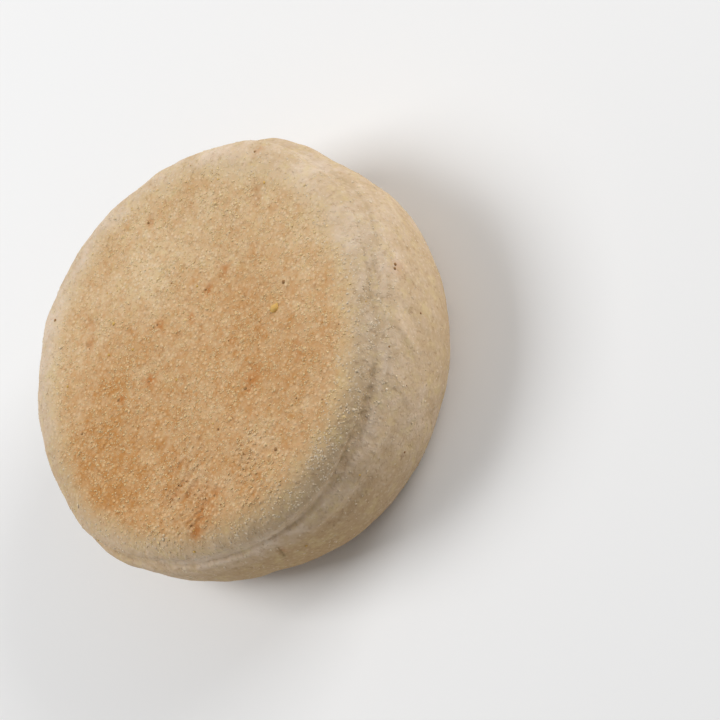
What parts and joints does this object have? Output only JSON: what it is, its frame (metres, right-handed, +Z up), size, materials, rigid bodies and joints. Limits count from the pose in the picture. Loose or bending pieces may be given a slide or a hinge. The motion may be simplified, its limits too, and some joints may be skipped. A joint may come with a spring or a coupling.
{
  "type": "english muffin",
  "caption": "Whole uncut griddle-baked english muffin: thick round bread with flat faces, rounded shoulders and a wandering crease round its side.",
  "frame": {"origin": "on the surface that the muffin rests on, below the middle of its outline", "axes": "+Z up from the griddled underside to the griddled top; +X and +Y level, with -Y the side whose crease dips lowest"},
  "size_m": [0.0956, 0.0972, 0.0324],
  "materials": {
    "crust": "dry floury crust, toasted golden brown on both flat faces and pale cream round the side"
  },
  "bodies": {
    "root": {"muffin": "crust"}
  },
  "joints": []
}
